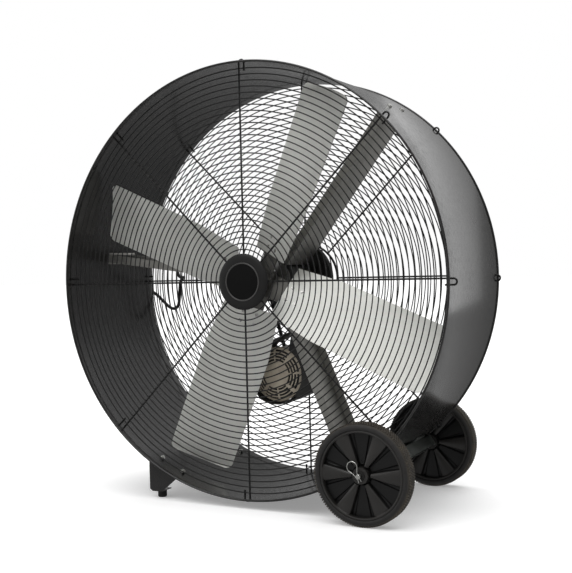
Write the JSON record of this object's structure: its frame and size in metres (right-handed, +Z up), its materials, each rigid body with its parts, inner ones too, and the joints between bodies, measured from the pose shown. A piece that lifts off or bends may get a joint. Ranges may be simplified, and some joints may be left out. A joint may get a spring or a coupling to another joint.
{
  "type": "drum fan",
  "caption": "Large belt-driven drum fan on two wheels and two feet, with wire guards, a sheet-metal impeller and a motor inside the drum.",
  "frame": {"origin": "on the floor, under the middle of the drum", "axes": "+Z up; +Y along the fan's axis, from the outlet side to the intake side; +X towards the wheels"},
  "size_m": [1.149, 0.55, 1.159],
  "materials": {
    "black_paint": "gloss black powder coat",
    "black_wire": "satin black coated wire",
    "dark_plastic": "dark grey moulded plastic",
    "black_plastic": "black moulded plastic",
    "galvanised": "galvanised sheet",
    "blade_metal": "bright metal sheet",
    "zinc": "bright zinc plate",
    "cast_iron": "dark satin casting",
    "rubber": "matt black rubber",
    "tyre_rubber": "moulded tread rubber",
    "motor_paint": "satin tan enamel",
    "steel": "ground steel"
  },
  "bodies": {
    "root": {"drum_shell": "black_paint", "front_guard": "black_wire", "rear_guard": "black_wire", "guard_badge": "dark_plastic", "spider_arm_1": "galvanised", "spider_arm_2": "galvanised", "spider_arm_3": "galvanised", "bearing_carrier": "cast_iron", "front_bearing": "steel", "rear_bearing": "steel", "motor_cradle": "cast_iron", "motor_pad": "rubber", "drive_belt": "rubber", "motor_housing": "motor_paint", "motor_front_bell": "motor_paint", "motor_rear_bell": "motor_paint", "wheel_axle": "zinc", "front_washer": "black_plastic", "rear_washer": "black_plastic", "front_axle_clip": "zinc", "rear_axle_clip": "zinc", "front_axle_bush": "black_plastic", "rear_axle_bush": "black_plastic", "front_saddle": "galvanised", "rear_saddle": "galvanised", "axle_carrier": "galvanised", "front_foot_bracket": "black_paint", "rear_foot_bracket": "black_paint", "front_foot_pad": "rubber", "rear_foot_pad": "rubber", "arm_bolt_1": "zinc", "arm_bolt_2": "zinc", "arm_bolt_3": "zinc", "arm_bolt_4": "zinc", "arm_bolt_5": "zinc", "arm_bolt_6": "zinc", "foot_bolt_1": "zinc", "foot_bolt_2": "zinc", "foot_bolt_3": "zinc", "foot_bolt_4": "zinc", "carrier_bolt_1": "zinc", "carrier_bolt_2": "zinc", "switch_box": "black_plastic", "lead_gland": "black_plastic", "mains_gland": "black_plastic", "motor_lead": "rubber"},
    "fan_rotor": {"fan_shaft": "steel", "fan_hub": "galvanised", "fan_pulley": "cast_iron", "blade_1": "blade_metal", "blade_2": "blade_metal", "blade_3": "blade_metal", "blade_4": "blade_metal"},
    "motor_rotor": {"motor_shaft": "steel", "motor_pulley": "cast_iron"},
    "front_wheel": {"front_wheel_rim": "black_plastic", "front_wheel_tyre": "tyre_rubber"},
    "rear_wheel": {"rear_wheel_rim": "black_plastic", "rear_wheel_tyre": "tyre_rubber"},
    "knob": {"switch_knob": "black_plastic"}
  },
  "joints": [
    {"name": "fan_spin", "type": "hinge", "parent": "root", "child": "fan_rotor", "pos_m": [0, 0, 0.5845], "axis": [0, 1, 0], "continuous": true},
    {"name": "motor_spin", "type": "hinge", "parent": "root", "child": "motor_rotor", "pos_m": [-0.00235, 0, 0.32592], "axis": [0, 1, 0], "continuous": true},
    {"name": "front_wheel_spin", "type": "hinge", "parent": "root", "child": "front_wheel", "pos_m": [0.35426, -0.24, 0.124], "axis": [0, 1, 0], "continuous": true},
    {"name": "rear_wheel_spin", "type": "hinge", "parent": "root", "child": "rear_wheel", "pos_m": [0.35426, 0.24, 0.124], "axis": [0, 1, 0], "continuous": true},
    {"name": "knob_turn", "type": "hinge", "parent": "root", "child": "knob", "pos_m": [-0.56603, 0.128, 0.36722], "axis": [-0.9336, 0, -0.3584], "range_deg": [0, 90]}
  ],
  "couplings": [
    {"joint": "motor_spin", "follows": "fan_spin", "ratio": 3.6429}
  ]
}
